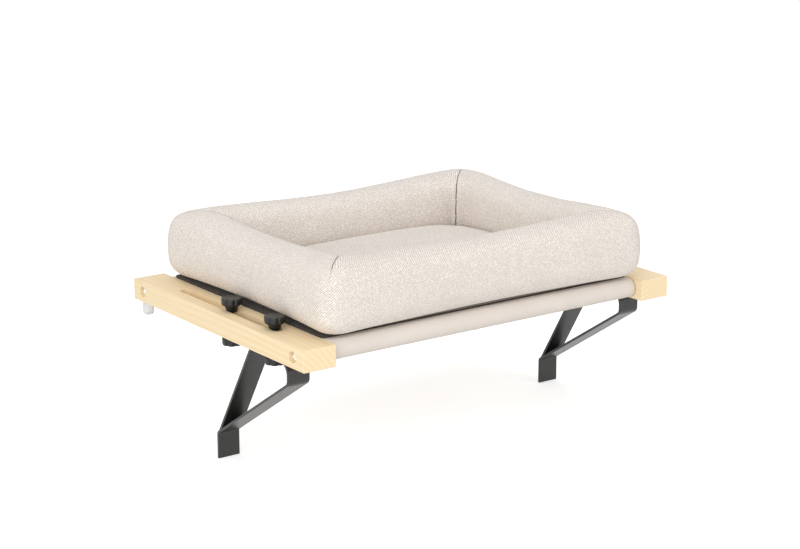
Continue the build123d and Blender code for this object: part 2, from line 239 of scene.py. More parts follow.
@dataclass(frozen=True)
class PlainWeave:
    """Smooth plain-woven cloth."""

    name: str
    crown: Colour
    # valley: painted shade in the hollows between the yarns.
    valley: Colour
    yarn: float = 0.62 * MM
    depth: float = 0.10 * MM
    sheen: float = 0.12

    def make(self) -> bpy.types.Material:
        """Builds the material: two crossing waves of yarns on the piece's own UV map, in metres, with painted
        shade in the hollows between the yarns.
        """
        recipe = Recipe(self.name, Pattern.CLOTH)
        split = recipe.tree.nodes.new("ShaderNodeSeparateXYZ")
        recipe.plug(split.inputs[0], recipe.where)
        turn = math.pi / self.yarn
        warp = recipe.math("ABSOLUTE", recipe.math("SINE", recipe.math("MULTIPLY", split.outputs[0], turn)))
        weft = recipe.math("ABSOLUTE", recipe.math("SINE", recipe.math("MULTIPLY", split.outputs[1], turn)))
        height = recipe.math("MULTIPLY", recipe.math("ADD", warp, weft), 0.5)
        cloudy = recipe.noise(recipe.scaled((1.0, 1.0, 1.0)), 24.0, 3.0)
        # Painted shade: the low places between the yarns take the darker valley colour.
        share = recipe.math("MULTIPLY", height, recipe.spread(cloudy, 0.25, 0.75, 0.8, 1.0))
        recipe.set(
            Base_Color=recipe.mix(share, self.valley, self.crown), Roughness=0.85, Sheen_Weight=self.sheen,
            Specular_IOR_Level=0.25, Normal=recipe.relief(height, self.depth),
        )
        return recipe.material


@dataclass(frozen=True)
class Pine:
    """Pale lacquered pine, its grain along Y, with growth rings round an axis beside the rail."""

    name: str
    centre: tuple[float, float]
    early: Colour = paint(244, 223, 184)
    late: Colour = paint(226, 190, 138)
    ring: float = 5.5 * MM
    waver: float = 30.0 * MM
    fibre_rates: tuple[float, float, float] = (900.0, 14.0, 900.0)
    cloud_rates: tuple[float, float, float] = (22.0, 5.0, 22.0)
    waver_rates: tuple[float, float, float] = (9.0, 1.6, 9.0)
    fibre_depth: float = 0.05 * MM

    def make(self) -> bpy.types.Material:
        """Builds the material: the distance from the tree's middle, wavered by noise, gives the rings."""
        recipe = Recipe(self.name, Pattern.OBJECT)
        split = recipe.tree.nodes.new("ShaderNodeSeparateXYZ")
        recipe.plug(split.inputs[0], recipe.where)
        across = recipe.math("SUBTRACT", split.outputs[0], self.centre[0])
        up = recipe.math("SUBTRACT", split.outputs[2], self.centre[1])
        squares = recipe.math("ADD", recipe.math("POWER", across, 2.0), recipe.math("POWER", up, 2.0))
        waver = recipe.noise(recipe.scaled(self.waver_rates), 1.0, 3.0)
        wavered = recipe.math("MULTIPLY", waver, self.waver)
        distance = recipe.math("ADD", recipe.math("SQRT", squares), wavered)
        phase = recipe.math("FRACT", recipe.math("DIVIDE", distance, self.ring))
        darkening = recipe.spread(phase, 0.25, 0.85)
        rings = recipe.math("MULTIPLY", darkening, recipe.spread(phase, 0.9, 1.0, 1.0, 0.0))
        fibres = recipe.noise(recipe.scaled(self.fibre_rates), 1.0, 4.0, 0.65)
        clouds = recipe.noise(recipe.scaled(self.cloud_rates), 1.0, 2.0)
        share = recipe.math("MULTIPLY", rings, recipe.spread(clouds, 0.25, 0.75, 0.05, 0.34))
        tone = recipe.mix(share, self.early, self.late)
        flecked = recipe.mix(recipe.spread(fibres, 0.50, 0.78, 0.0, 0.42), tone, self.late)
        recipe.set(
            Base_Color=flecked, Roughness=recipe.spread(fibres, 0.2, 0.8, 0.42, 0.56), Specular_IOR_Level=0.4,
            Normal=recipe.relief(fibres, self.fibre_depth),
        )
        return recipe.material


@dataclass(frozen=True)
class Coated:
    """Smooth coat, metal or moulded plastic: one colour with a fine orange peel and faint clouding."""

    name: str
    colour: Colour
    roughness: float
    peel: float = 900.0
    depth: float = 0.02 * MM
    metallic: float = 0.0
    specular: float = 0.5
    cloud_rate: float = 45.0
    cloud_shade: float = 0.8

    def make(self) -> bpy.types.Material:
        """Builds the material on object coordinates."""
        recipe = Recipe(self.name, Pattern.OBJECT)
        grain = recipe.noise(recipe.where, self.peel, 2.0)
        clouds = recipe.noise(recipe.where, self.cloud_rate, 2.0)
        darker = tuple(value * self.cloud_shade for value in self.colour)
        recipe.set(
            Base_Color=recipe.mix(recipe.spread(clouds, 0.3, 0.7), darker, self.colour),
            Roughness=recipe.spread(grain, 0.2, 0.8, self.roughness * 0.85, self.roughness * 1.15),
            Metallic=self.metallic, Specular_IOR_Level=self.specular, Normal=recipe.relief(grain, self.depth),
        )
        return recipe.material


@dataclass(frozen=True)
class ClearPlastic:
    """Clear soft plastic, slightly milky."""

    name: str = "clear_plastic"
    clear: Colour = paint(246, 247, 248)
    milky: Colour = paint(232, 234, 236)
    haze_rate: float = 260.0

    def make(self) -> bpy.types.Material:
        """Builds the material on object coordinates."""
        recipe = Recipe(self.name, Pattern.OBJECT)
        haze = recipe.noise(recipe.where, self.haze_rate, 2.0)
        recipe.set(
            Base_Color=recipe.mix(haze, self.clear, self.milky),
            Roughness=recipe.spread(haze, 0.3, 0.7, 0.38, 0.52),
            Transmission_Weight=0.4, IOR=1.42, Specular_IOR_Level=0.4,
        )
        return recipe.material


@dataclass(frozen=True)
class FeltAndGapShade:
    """Dark felt for the panel between the rails and the bed: short crossed fibres over a fuzzy base. Its dark
    colour is partly painted shade: it stands for the shadow in the gap there as well as for dark cloth.
    """

    name: str = "dark_felt_and_gap_shade"
    light: Colour = paint(88, 81, 77)
    dark: Colour = paint(42, 38, 36)
    along_rates: tuple[float, float, float] = (1500.0, 350.0, 900.0)
    across_rates: tuple[float, float, float] = (350.0, 1500.0, 900.0)
    depth: float = 0.25 * MM

    def make(self) -> bpy.types.Material:
        """Builds the material on object coordinates."""
        recipe = Recipe(self.name, Pattern.OBJECT)
        along = recipe.noise(recipe.scaled(self.along_rates, 25.0), 1.0, 3.0)
        across = recipe.noise(recipe.scaled(self.across_rates, -20.0), 1.0, 3.0)
        fibres = recipe.math("MAXIMUM", along, across)
        recipe.set(
            Base_Color=recipe.mix(recipe.spread(fibres, 0.35, 0.75), self.dark, self.light), Roughness=0.95,
            Sheen_Weight=0.1, Specular_IOR_Level=0.1, Normal=recipe.relief(fibres, self.depth),
        )
        return recipe.material


COAT = Coated("powder_coat", paint(42, 42, 41), 0.34, depth=0.03 * MM)
KNOB = Coated("knob_plastic", paint(20, 21, 21), 0.42, peel=1500.0)
SCREW = Coated("bright_zinc", paint(250, 250, 250), 0.22, peel=400.0, metallic=0.85)
ZINC = Coated("zinc_plate", paint(205, 205, 204), 0.24, metallic=1.0)
BRASS = Coated("turned_brass", paint(214, 182, 120), 0.25, metallic=1.0)
TUBE = Coated("grey_bar", paint(180, 180, 178), 0.4)
# Each cloth's second colour is the painted shade in its weave's hollows.
SLING_CLOTH = PlainWeave("sling_cloth", paint(238, 229, 220), paint(208, 197, 187))
SLING_THREAD = PlainWeave("sling_thread", paint(232, 224, 215), paint(200, 190, 181), 0.3 * MM)
SEAM_THREAD = PlainWeave("seam_thread", paint(226, 217, 208), paint(196, 186, 177), 0.3 * MM)
BASE_CLOTH = PlainWeave("base_cloth", paint(150, 142, 133), paint(110, 102, 94), 0.9 * MM)


def add_piece(name: str, mesh: bpy.types.Mesh) -> bpy.types.Object:
    """Shades a mesh smooth and puts it in the scene as a piece at the origin."""
    mesh.polygons.foreach_set("use_smooth", np.ones(len(mesh.polygons), bool))
    mesh.update()
    piece = bpy.data.objects.new(name, mesh)
    bpy.context.scene.collection.objects.link(piece)
    return piece


def wrap_grid(
    name: str, points: np.ndarray, cloth: np.ndarray, round_it: bool, capped: bool
) -> bpy.types.Object:
    """Makes a mesh of quads from a grid of points.

    The grid's first index runs along the piece and its second across it or round it. A capped grid is closed
    at both ends by a fan to the end ring's middle, and its end rings are sharp.

    Args:
        name: Name of the piece.
        points: Places, shape (along, across, 3). Seen from outside, across x along points outwards.
        cloth: UV places in metres, shape (along, across + 1 if it goes round, 2).
        round_it: Whether the last column joins the first.
        capped: Whether the two ends are closed.

    Returns:
        The piece, smooth shaded, at the origin.
    """
    rows, columns = points.shape[:2]
    spans = columns if round_it else columns - 1
    row, column = (grid.ravel() for grid in np.meshgrid(np.arange(rows - 1), np.arange(spans), indexing="ij"))
    beside = (column + 1) % columns
    below, above = row * columns, (row + 1) * columns
    quads = np.stack([below + column, below + beside, above + beside, above + column], 1)
    near = [cloth[row, column], cloth[row, column + 1]]
    far = [cloth[row + 1, column + 1], cloth[row + 1, column]]
    uv = np.stack(near + far, 1)
    places = points.reshape(-1, 3)
    faces = quads.tolist()
    corners = uv.reshape(-1, 2)
    if capped:
        ring = np.arange(columns)
        after = (ring + 1) % columns
        for at, flip in ((0, True), (rows - 1, False)):
            middle = len(places)
            places = np.vstack([places, points[at].mean(0)])
            first, second = (after, ring) if flip else (ring, after)
            fan = np.stack([at * columns + first, at * columns + second, np.full(columns, middle)], 1)
            faces += fan.tolist()
            end = np.stack([cloth[at, ring], cloth[at, ring + 1], cloth[at, ring]], 1)
            corners = np.vstack([corners, end.reshape(-1, 2)])
    mesh = bpy.data.meshes.new(name)
    mesh.from_pydata(places.tolist(), [], faces)
    if capped:
        ends = np.full(len(places), -1)
        ends[:columns], ends[(rows - 1) * columns:rows * columns] = 0, 1
        pairs = np.zeros(len(mesh.edges) * 2, int)
        mesh.edges.foreach_get("vertices", pairs)
        sides = ends[pairs.reshape(-1, 2)]
        rim = (sides[:, 0] >= 0) & (sides[:, 0] == sides[:, 1])
        mesh.attributes.new("sharp_edge", "BOOLEAN", "EDGE").data.foreach_set("value", rim)
        mesh.attributes.new("crease_edge", "FLOAT", "EDGE").data.foreach_set("value", rim.astype(np.float32))
    layer = mesh.uv_layers.new(name="cloth")
    layer.data.foreach_set("uv", corners.astype(np.float32).ravel())
    return add_piece(name, mesh)


def sew(name: str, lines: list[np.ndarray], length: float, gap: float, radius: float) -> bpy.types.Object:
    """Makes a row of stitches along each line: closed spindles, of a radius that falls off as a half circle.

    Args:
        name: Name of the piece.
        lines: Seam lines, each of shape (points, 3).
        length: Length of a stitch in metres.
        gap: Space between stitches in metres.
        radius: Radius of a stitch in metres.

    Returns:
        One piece that holds every stitch.
    """
    starts, ends = [], []
    for line in lines:
        travelled = np.append(0.0, np.cumsum(np.linalg.norm(np.diff(line, axis=0), axis=1)))
        first = np.arange(gap, travelled[-1] - length, length + gap)
        starts.append(np.stack([np.interp(first, travelled, line[:, axis]) for axis in range(3)], -1))
        ends.append(np.stack([np.interp(first + length, travelled, line[:, axis]) for axis in range(3)], -1))
    start, end = np.vstack(starts), np.vstack(ends)
    axis = (end - start) / np.linalg.norm(end - start, axis=1, keepdims=True)
    off_axis = np.array([0.31, 0.47, 0.83])
    beside = np.cross(axis, off_axis)
    beside /= np.linalg.norm(beside, axis=1, keepdims=True)
    above = np.cross(axis, beside)
    rings, sides = 6, 8
    share = np.linspace(0.02, 0.98, rings)
    thick = radius * np.sqrt(1 - (2 * share - 1) ** 2)
    angle = np.arange(sides) / sides * math.tau
    middle = start[:, None, None] + (end - start)[:, None, None] * share[None, :, None, None]
    cosine, sine = np.cos(angle)[None, None, :, None], np.sin(angle)[None, None, :, None]
    around = beside[:, None, None] * cosine + above[:, None, None] * sine
    points = (middle + around * thick[None, :, None, None]).reshape(-1, 3)
    ring, side = (grid.ravel() for grid in np.meshgrid(np.arange(rings - 1), np.arange(sides), indexing="ij"))
    after = (side + 1) % sides
    first, second = ring * sides, (ring + 1) * sides
    quad = np.stack([first + side, second + side, second + after, first + after], 1)
    offsets = np.arange(len(start)) * rings * sides
    quads = (quad[None] + offsets[:, None, None]).reshape(-1, 4).tolist()
    near = (np.arange(sides)[None] + offsets[:, None]).tolist()
    far = ((rings - 1) * sides + np.arange(sides)[::-1][None] + offsets[:, None]).tolist()
    mesh = bpy.data.meshes.new(name)
    mesh.from_pydata(points.tolist(), [], quads + near + far)
    layer = mesh.uv_layers.new(name="cloth")
    corner = np.zeros(len(mesh.loops), int)
    mesh.loops.foreach_get("vertex_index", corner)
    layer.data.foreach_set("uv", points[corner][:, :2].astype(np.float32).ravel())
    return add_piece(name, mesh)


def face_outwards(piece: bpy.types.Object) -> None:
    """Turns a closed mesh the right way out if its volume comes out negative."""
    mesh = piece.data
    mesh.calc_loop_triangles()
    points = np.array([vertex.co for vertex in mesh.vertices])
    corners = np.array([triangle.vertices for triangle in mesh.loop_triangles])
    a, b, c = points[corners[:, 0]], points[corners[:, 1]], points[corners[:, 2]]
    if (a * np.cross(b, c)).sum() < 0:
        mesh.flip_normals()


def read_points(piece: bpy.types.Object) -> np.ndarray:
    """Places of a piece's vertices, shape (vertices, 3)."""
    flat = np.zeros(len(piece.data.vertices) * 3)
    piece.data.vertices.foreach_get("co", flat)
    return flat.reshape(-1, 3)


def write_points(piece: bpy.types.Object, points: np.ndarray) -> None:
    """Moves a piece's vertices to new places."""
    piece.data.vertices.foreach_set("co", points.ravel())
    piece.data.update()


def inflate(piece: bpy.types.Object, freedom: np.ndarray, most: float, pressure: float) -> None:
    """Blows a closed cover up as cloth, without gravity, and keeps the shape that it takes.

    Args:
        piece: The closed cover.
        freedom: How far each vertex may follow the cloth, from 0, sewn down, to 1.
        most: Longest move in metres.
        pressure: Air pressure inside.
    """
    before = read_points(piece)
    sewn = piece.vertex_groups.new(name="sewn")
    for index in np.flatnonzero(freedom < 0.05).tolist():
        sewn.add([index], 1.0, "REPLACE")
    cloth = piece.modifiers.new("cloth", "CLOTH")
    settings = cloth.settings
    settings.quality = 5
    settings.mass = 0.2
    settings.tension_stiffness = settings.compression_stiffness = 18.0
    settings.shear_stiffness = 8.0
    settings.bending_stiffness = 0.8
    settings.use_pressure = True
    settings.uniform_pressure_force = pressure
    settings.vertex_group_mass = "sewn"
    settings.effector_weights.gravity = 0.0
    cloth.collision_settings.use_self_collision = False
    cloth.point_cache.frame_start, cloth.point_cache.frame_end = 1, SWELL_FRAMES
    scene = bpy.context.scene
    for moment in range(1, SWELL_FRAMES + 1):
        scene.frame_set(moment)
    solved = piece.evaluated_get(bpy.context.evaluated_depsgraph_get())
    flat = np.zeros(len(before) * 3)
    solved.data.vertices.foreach_get("co", flat)
    move = flat.reshape(-1, 3) - before
    piece.modifiers.remove(cloth)
    piece.vertex_groups.remove(sewn)
    scene.frame_set(1)
    length = np.maximum(np.linalg.norm(move, axis=1, keepdims=True), 1e-9)
    capped = move * (most * np.tanh(length / most) / length) * freedom[:, None]
    LOG.info("%s: swelled by %.2f mm at most", piece.name, np.linalg.norm(capped, axis=1).max() / MM)
    write_points(piece, before + capped)


def refine(piece: bpy.types.Object) -> None:
    """Subdivides a swollen piece once, the same in the view as in a render."""
    finer = piece.modifiers.new("finer", "SUBSURF")
    finer.levels = finer.render_levels = 1


def thicken(piece: bpy.types.Object, thickness: float) -> None:
    """Gives a sheet its thickness, half to each side."""
    thick = piece.modifiers.new("thickness", "SOLIDIFY")
    thick.thickness = thickness
    thick.offset = 0.0


def place(piece: bpy.types.Object, body: str, slot: str, *nodes: str) -> None:
    """Puts a piece on a body, hides the parts that it replaces and reports it."""
    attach(piece, body)
    if nodes:
        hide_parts(*nodes)
    LOG.info("%s: %d faces on %s", piece.name, len(piece.data.polygons), body)


def dress(piece: bpy.types.Object, material: bpy.types.Material) -> None:
    """Puts a material on every slot of a piece."""
    if not piece.material_slots:
        piece.data.materials.append(material)
    for slot in piece.material_slots:
        slot.material = material


def rolling(rng: np.random.Generator, along: np.ndarray, around: np.ndarray, size: float) -> np.ndarray:
    """Gentle random swells, of about 1 at most: a sum of sine waves, each along its own slant.

    Args:
        rng: Seeded source of the waves.
        along: Places along the piece in metres.
        around: Places round it in metres.
        size: Length of the longest swells in metres.

    Returns:
        The swell at each place.
    """
    waves, share = 9, 6
    total = np.zeros(np.broadcast(along, around).shape)
    for _ in range(waves):
        slant = rng.uniform(0, math.tau)
        rate = math.tau / (size * rng.uniform(0.45, 1.0))
        travelled = along * math.cos(slant) + around * math.sin(slant)
        total += np.sin(rate * travelled + rng.uniform(0, math.tau))
    return total / share


@dataclass
class BolsterBed:
    """The soft bed: four mitred bolsters round a nest, a pad in it and the cloth below."""

    middle_y: float = -16.5 * MM
    floor_z: float = 47.25 * MM
    nest_x: float = 165.0 * MM
    nest_y: float = 112.0 * MM
    nest_corner: float = 12.0 * MM
    thickness: float = 60.0 * MM
    swell: float = 5.0 * MM
    rim_corner: float = 24.0 * MM
    low: float = 76.5 * MM
    high: float = 81.0 * MM
    widest: float = 0.47
    low_round: float = 21.0 * MM
    high_round: float = 20.0 * MM
    side_turn: float = 12.0
    crown_turn: float = 20.0
    slack: float = 0.9 * MM
    most_swell: float = 2.0 * MM
    corner_fill: float = 2.4 * MM
    step: float = 4.0 * MM
    seam_depth: float = 0.9 * MM
    seam_reach: float = 2.4 * MM
    stitch: float = 2.6 * MM
    stitch_gap: float = 1.1 * MM
    stitch_radius: float = 0.34 * MM
    clearance: float = 0.2 * MM
    seam_hold: float = 9.0 * MM
    foot_hold: float = 10.0 * MM
    pucker: float = 0.22 * MM
    pucker_length: float = 7.5 * MM
    dent: float = 0.30 * MM
    cover_pressure: float = 4.0
    first_seed: int = 20
    pad_gap: float = 0.4 * MM
    pad_waist: float = 13.0 * MM
    pad_crown: float = 23.0 * MM
    pad_dent: float = 0.9 * MM
    pad_swell: float = 1.5 * MM
    pad_pressure: float = 3.0
    base_thickness: float = 0.9 * MM
    seams: list[np.ndarray] = field(default_factory=list)

    def section(self, width: np.ndarray, height: np.ndarray) -> tuple[np.ndarray, np.ndarray]:
        """Cross-section of a bolster, round from the inner foot: a flat bottom, straight sides and a crown.

        Lines and arcs meet without a kink, as in the solid. The radii of the crown's arc and of the shallow
        arc up each side follow from the width and from the height of the crown above the widest line.

        Args:
            width: Widths, shape (along, 1).
            height: Heights, shape (along, 1).

        Returns:
            Distance from the inner edge and height, both of shape (along, around).
        """
        side, crown = math.radians(self.side_turn), math.radians(self.crown_turn)
        low, high, waist = self.low_round, self.high_round, height * self.widest
        across = width / 2 + high * (math.sin(crown) - math.cos(side))
        up = height - waist + high * (math.sin(side) - math.cos(crown))
        scale = math.sin(crown) * math.sin(side) - (1 - math.cos(side)) * (1 - math.cos(crown))
        crown_radius = (across * math.sin(side) - up * (1 - math.cos(side))) / scale
        side_radius = (up * math.sin(crown) - across * (1 - math.cos(crown))) / scale
        lift = (side_radius - high) * math.sin(side)
        inset = side_radius - (side_radius - high) * math.cos(side)

        def arc(
            x: np.ndarray, z: np.ndarray, radius: np.ndarray, start: float, end: float, count: int
        ) -> np.ndarray:
            """Points of an arc, without its last, as (along, around, 2)."""
            angle = np.linspace(start, end, count + 1)[None, :-1]
            return np.stack([x + radius * np.cos(angle), z + radius * np.sin(angle)], -1)

        zero = np.zeros_like(width)
        low_share = np.linspace(0, 1, 12)[None, :-1]
        side_share = np.linspace(0, 1, 5)[None, :-1]
        right = math.pi / 2
        bottom = np.stack([low + (width - 2 * low) * low_share, zero * low_share], -1)
        outside = np.stack([width + 0 * side_share, low + (waist - low) * side_share], -1)
        inside = np.stack([0 * width + 0 * side_share, waist - (waist - low) * side_share], -1)
        ring = np.concatenate([
            bottom, arc(width - low, low + zero, low, -right, 0.0, 9), outside,
            arc(width - side_radius, waist, side_radius, 0.0, side, 4),
            arc(width - inset, waist + lift, high, side, right - crown, 7),
            arc(width / 2, height - crown_radius, crown_radius, right - crown, right + crown, 10),
            arc(inset, waist + lift, high, right + crown, math.pi - side, 7),
            arc(side_radius, waist, side_radius, math.pi - side, math.pi, 4), inside,
            arc(low + zero, low + zero, low, math.pi, math.pi + right, 9),
        ], 1)
        return ring[..., 0], ring[..., 1]

    def bolster(self, name: str, facing: float, seed: int) -> bpy.types.Object:
        """One side of the rim, from mitre to mitre: sections along a line, then turned about each corner.

        The rim's outline is drawn in along its middle by a squared cosine, and its corners are arcs that
        bulge half way up. The cover is swollen by air pressure, and then drawn in along both mitre seams.

        Args:
            name: Name of the piece.
            facing: Direction that it faces, in degrees from +X.
            seed: Seed of its swells.

        Returns:
            The closed piece.
        """
        rng = np.random.default_rng(seed)
        faces_x = abs(math.cos(math.radians(facing))) > 0.5
        half = (self.nest_y if faces_x else self.nest_x) - self.nest_corner
        outward = (self.nest_x if faces_x else self.nest_y) - self.nest_corner
        outer = self.nest_corner + self.thickness + self.swell
        arc_centre = outer - self.rim_corner
        straight = np.linspace(-half, half, 2 * round(half / self.step) + 1)
        crowding, mitre_turn, turns = 0.98, 45, 21
        even = np.linspace(0, mitre_turn, turns + 1)[1:]
        bend = np.radians(even**crowding * mitre_turn / mitre_turn**crowding)
        line = np.concatenate([np.full(turns, -half), straight, np.full(turns, half)])[:, None]
        turn = np.concatenate([-bend[::-1], np.zeros(len(straight)), bend])[:, None]
        angle = np.abs(turn)
        from_middle = np.abs(line) + outer * np.tan(angle)
        on_side = from_middle < half + arc_centre
        drawn = np.where(on_side, np.cos(math.pi / 2 * from_middle / (half + arc_centre)) ** 2, 0.0)
        towards = arc_centre * (np.cos(angle) + np.sin(angle))
        rounded = towards + np.sqrt(np.maximum(towards**2 - 2 * arc_centre**2 + self.rim_corner**2, 0.0))
        width = np.where(on_side, (outer - self.swell * drawn) / np.cos(angle), rounded) - self.nest_corner
        height = self.high - (self.high - self.low) * drawn
        lateral, level = self.section(width, height)
        slim = self.slack / np.hypot(lateral - width / 2, level - height * self.widest)
        lateral = self.nest_corner + lateral + (width / 2 - lateral) * slim
        level = level + (height * self.widest - level) * slim
        outer_share = np.clip((lateral - self.nest_corner) / width, 0.0, 1.0) ** 2
        belly = np.sin(math.pi * np.clip(level / height, 0.0, 1.0)) ** 1.3
        lateral = lateral + self.corner_fill * np.sin(2 * angle) ** 2 * belly * outer_share
        facing_turn = math.radians(facing)
        out = np.array([math.cos(facing_turn), math.sin(facing_turn)])
        side = np.array([-out[1], out[0]])
        flat_out = outward + lateral * np.cos(turn)
        flat_side = line + lateral * np.sin(turn)
        place_xy = flat_out[..., None] * out + flat_side[..., None] * side + np.array([0.0, self.middle_y])
        points = np.concatenate([place_xy, (level + self.floor_z + self.clearance)[..., None]], -1)
        middle_row = points[len(points) // 2]
        steps = np.diff(np.vstack([middle_row, middle_row[:1]]), axis=0)
        around = np.append(0.0, np.cumsum(np.linalg.norm(steps, axis=1)))
        spread = np.concatenate([flat_side, flat_side[:, :1]], 1)
        cloth = np.stack([spread, np.broadcast_to(around, spread.shape)], -1)
        piece = wrap_grid(name, points, cloth, True, True)
        face_outwards(piece)
        on_line = lateral * 0.7 + half - np.abs(line)
        from_seam = np.where(angle > 0, lateral * np.sin(math.pi / 4 - angle), on_line)
        hold = np.clip(from_seam / self.seam_hold, 0.0, 1.0) * np.clip(level / self.foot_hold, 0.0, 1.0)
        inflate(piece, np.append(hold.ravel(), [0.0, 0.0]), self.most_swell, self.cover_pressure)
        normals = np.zeros(len(piece.data.vertices) * 3)
        piece.data.vertex_normals.foreach_get("vector", normals)
        normals = normals.reshape(-1, 3)[: lateral.size].reshape(*lateral.shape, 3)
        swollen = read_points(piece)
        inner_share = 1 - (lateral - self.nest_corner) / width
        over = np.clip((level / height - 0.62) / 0.3, 0.0, 1.0) * np.clip(inner_share / 0.3, 0.0, 1.0)
        over = np.maximum(over, np.clip((inner_share - 0.6) / 0.3, 0.0, 1.0))
        pinch = self.seam_depth * over * np.exp(-((from_seam / self.seam_reach) ** 2))
        pucker_along = np.broadcast_to(around[:-1], lateral.shape)
        puckers = self.pucker * np.sin(pucker_along / self.pucker_length * math.pi + rng.uniform(0, 6))
        puckers = puckers * np.exp(-from_seam / self.seam_hold)
        soft = self.dent * rolling(rng, flat_side, pucker_along, 0.12) * np.clip(from_seam / (20 * MM), 0, 1)
        above = np.clip(level / (4 * MM), 0.0, 1.0)
        shift = ((puckers * over + soft) * above - pinch)[..., None] * normals
        swollen[: lateral.size] += shift.reshape(-1, 3)
        swollen[:, 2] = np.maximum(swollen[:, 2], self.floor_z + 0.05 * MM)
        write_points(piece, swollen)
        refine(piece)
        mitre = swollen[: lateral.size].reshape(*lateral.shape, 3)[-1]
        inner_side = (inner_share[-1] > 0.7) & (level[-1] > 0.45 * height[-1])
        shown = (level[-1] > 0.80 * height[-1]) | inner_side
        self.seams.append(mitre[shown])
        return piece

    def pad(self) -> bpy.types.Object:
        """The pad: a pillow whose height falls from its crown to the seam round its waist.

        Top and bottom are one tube round X: across the piece the same rows go over the top and back below.
        Sine spacing crowds the rows at the edges, where a power of the distance to them rounds it off.

        Returns:
            The closed piece.
        """
        half_x, half_y = self.nest_x - self.pad_gap, self.nest_y - self.pad_gap
        rng = np.random.default_rng(5)
        rows, columns = 97, 136
        p = np.sin(np.linspace(-1, 1, rows) * math.pi / 2)[:, None] * 0.9995
        turn = np.arange(columns) / columns * math.tau
        q = np.sin(turn)[None, :]
        over = np.cos(turn)[None, :] >= 0
        full = ((1 - p**4) * (1 - q**4)) ** 0.5
        dome = 0.80 + 0.20 * (1 - p**2) * (1 - q**2)
        draw_in, corner = 0.004, 0.05
        x = p * half_x * (1 - draw_in * (1 - q**2)) * np.sqrt(1 - corner * q**2)
        y = q * half_y * (1 - draw_in * (1 - p**2)) * np.sqrt(1 - corner * p**2)
        swell = self.pad_dent * rolling(rng, x, y, 0.14) * full
        top = full**0.6 * dome * self.pad_crown + swell
        z = self.pad_waist + np.where(over, top, -np.minimum(full * 2.2, 1.0) * self.pad_waist)
        points = np.stack(np.broadcast_arrays(x, y + self.middle_y, z + self.floor_z), -1)
        x_grid, y_grid = np.broadcast_arrays(x, y)
        back = np.where(over, y_grid, 2 * half_y - y_grid)
        cloth = np.stack([x_grid, back], -1)
        cloth = np.concatenate([cloth, cloth[:, :1]], 1)
        piece = wrap_grid("pad", points, cloth, True, True)
        face_outwards(piece)
        hold = np.clip((z / MM - 4.0) / 8.0, 0.0, 1.0) * np.minimum(full * 3, 1.0)
        inflate(piece, np.append(hold.ravel(), [0.0, 0.0]), self.pad_swell, self.pad_pressure)
        refine(piece)
        return piece

    def base(self) -> bpy.types.Object:
        """The bottom cloth: a flat sheet with faint ripples, given its thickness by Solidify."""
        low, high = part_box("bed_base")
        x = np.linspace(low.x, high.x, 60)[:, None]
        y = np.linspace(low.y, high.y, 46)[None, :]
        z = (low.z + high.z) / 2 + 0.15 * MM * rolling(np.random.default_rng(9), x, y, 0.08)
        x, y, z = np.broadcast_arrays(x, y, z)
        piece = wrap_grid("base_sheet", np.stack([x, y, z], -1), np.stack([x, y], -1), False, False)
        thicken(piece, self.base_thickness)
        return piece

    def build(self) -> None:
        """Makes and dresses the bed's pieces and puts them on its body."""
        cloth = NubbyTwill().make()
        below = BASE_CLOTH.make()
        sides = {"right": 0, "rear": 90, "left": 180, "front": 270}
        for seed, (side, facing) in enumerate(sides.items(), self.first_seed):
            piece = self.bolster(f"{side}_bolster_cover", facing, seed)
            dress(piece, cloth)
            place(piece, "bed", "bed_twill", f"{side}_bolster")
        pad = self.pad()
        dress(pad, cloth)
        place(pad, "bed", "bed_twill", "bed_pad")
        thread = SEAM_THREAD.make()
        stitches = sew("mitre_stitches", self.seams, self.stitch, self.stitch_gap, self.stitch_radius)
        dress(stitches, thread)
        place(stitches, "bed", "bed_twill")
        base = self.base()
        dress(base, below)
        place(base, "bed", "base_cloth", "bed_base")


